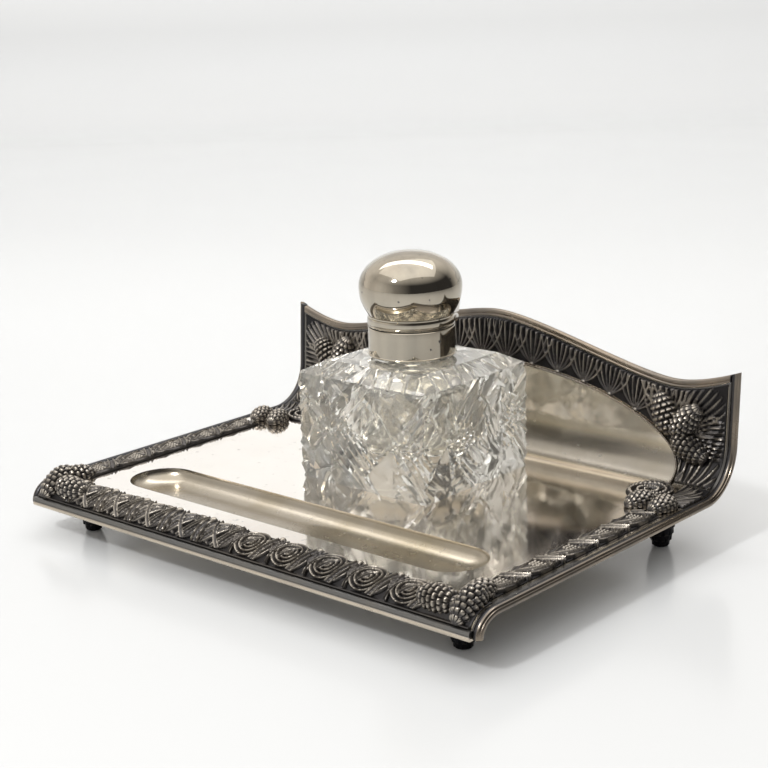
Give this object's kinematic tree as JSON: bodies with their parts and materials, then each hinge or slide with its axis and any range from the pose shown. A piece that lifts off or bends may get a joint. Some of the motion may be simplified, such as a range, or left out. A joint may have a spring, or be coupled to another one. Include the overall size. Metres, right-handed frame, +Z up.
{
  "type": "inkwell",
  "caption": "Footed inkstand tray with a pen trough and a shaped upright back, carrying a square cut-glass ink bottle with a hinged ball lid.",
  "frame": {"origin": "on the table under the middle of the tray's bounding box, at the soles of the feet", "axes": "+X along the front edge to the right, +Y from the front edge to the upright back, +Z up"},
  "size_m": [0.24, 0.17, 0.1147],
  "materials": {
    "polished_silver": "polished silver with a warm light tarnish and fine scratches",
    "oxidised_silver": "cast and chased silver, oxidised dark in the hollows and rubbed bright on the crests",
    "blackened_silver": "cast silver, nearly black with tarnish",
    "cut_glass": "clear brilliant-cut glass",
    "plaster": "set plaster of Paris"
  },
  "bodies": {
    "tray": {"tray_sheet": "polished_silver", "rim_front": "polished_silver", "rim_left": "polished_silver", "rim_right": "polished_silver", "rim_top": "polished_silver", "border_front": "oxidised_silver", "border_left": "oxidised_silver", "border_right": "oxidised_silver", "border_back": "oxidised_silver", "arch_bead": "polished_silver", "cones_front_left": "oxidised_silver", "cones_front_right": "oxidised_silver", "cones_back_left": "oxidised_silver", "cones_back_right": "oxidised_silver", "scroll_left": "oxidised_silver", "scroll_right": "oxidised_silver", "foot_front_left": "blackened_silver", "foot_front_right": "blackened_silver", "foot_back_left": "blackened_silver", "foot_back_right": "blackened_silver"},
    "bottle": {"glass_bottle": "cut_glass", "collar": "polished_silver", "cement_ring": "plaster", "collar_hinge_leaf": "polished_silver", "hinge_pin": "polished_silver"},
    "lid": {"lid_bezel": "polished_silver", "lid_dome": "polished_silver", "lid_hinge_leaf": "polished_silver"}
  },
  "joints": [
    {"name": "bottle_lift", "type": "slide", "parent": "tray", "child": "bottle", "axis": [0, 0, 1], "range_m": [0, 0.065]},
    {"name": "lid_hinge", "type": "hinge", "parent": "bottle", "child": "lid", "pos_m": [0, 0.0456, 0.0841], "axis": [-1, 0, 0], "range_deg": [0, 105]}
  ]
}
